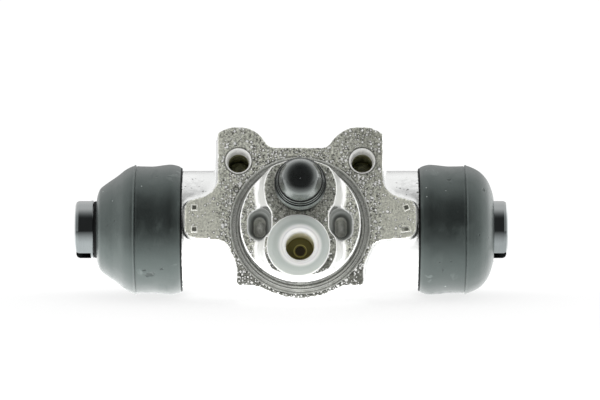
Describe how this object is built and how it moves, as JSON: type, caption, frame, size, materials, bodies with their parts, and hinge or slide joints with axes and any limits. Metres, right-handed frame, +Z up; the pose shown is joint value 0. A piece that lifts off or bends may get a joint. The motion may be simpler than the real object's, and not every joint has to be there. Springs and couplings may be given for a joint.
{
  "type": "wheel cylinder",
  "caption": "Drum brake wheel cylinder: die-cast barrel and flange with opposed slotted pistons, rubber boots, a capped bleeder and a plugged pipe port.",
  "frame": {"origin": "where the spigot's axis meets the mounting face", "axes": "+X along the bore, -Y out of the mounting face towards the backing plate, +Z up with the bleeder above the pipe port"},
  "size_m": [0.1056, 0.0537, 0.0426],
  "materials": {
    "cast_aluminium": "as-cast, shot-blasted grain, with machined rings and holes",
    "piston_metal": "turned, dark hard-anodised, smooth",
    "cup_rubber": "moulded",
    "spring_steel": "drawn wire",
    "boot_rubber": "moulded, matt, lightly dusty",
    "bleeder_steel": "zinc plated, yellow passivated",
    "cap_rubber": "moulded, glossy",
    "seat_brass": "turned",
    "plug_plastic": "natural polyethylene, translucent"
  },
  "bodies": {
    "cylinder": {"cylinder_body": "cast_aluminium", "inlet_seat": "seat_brass", "left_boot": "boot_rubber", "right_boot": "boot_rubber", "return_spring": "spring_steel"},
    "left_piston": {"left_piston": "piston_metal", "left_piston_cup": "cup_rubber"},
    "right_piston": {"right_piston": "piston_metal", "right_piston_cup": "cup_rubber"},
    "bleeder": {"bleeder_screw": "bleeder_steel"},
    "cap": {"bleeder_cap": "cap_rubber"},
    "plug": {"inlet_plug": "plug_plastic"}
  },
  "joints": [
    {"name": "left_piston_slide", "type": "slide", "parent": "cylinder", "child": "left_piston", "axis": [-1, 0, 0], "range_m": [-0.006, 0.002], "deforming": ["left_boot", "return_spring"]},
    {"name": "right_piston_slide", "type": "slide", "parent": "cylinder", "child": "right_piston", "axis": [1, 0, 0], "range_m": [-0.0016, 0.0064], "deforming": ["right_boot", "return_spring"]},
    {"name": "bleeder_turn", "type": "hinge", "parent": "cylinder", "child": "bleeder", "pos_m": [0, -0.0084, 0.0071], "axis": [0, -1, 0], "range_deg": [0, 360]},
    {"name": "cap_pull", "type": "slide", "parent": "bleeder", "child": "cap", "axis": [0, -1, 0], "range_m": [0, 0.02]},
    {"name": "plug_pull", "type": "slide", "parent": "cylinder", "child": "plug", "axis": [0, -1, 0], "range_m": [0, 0.02]}
  ]
}
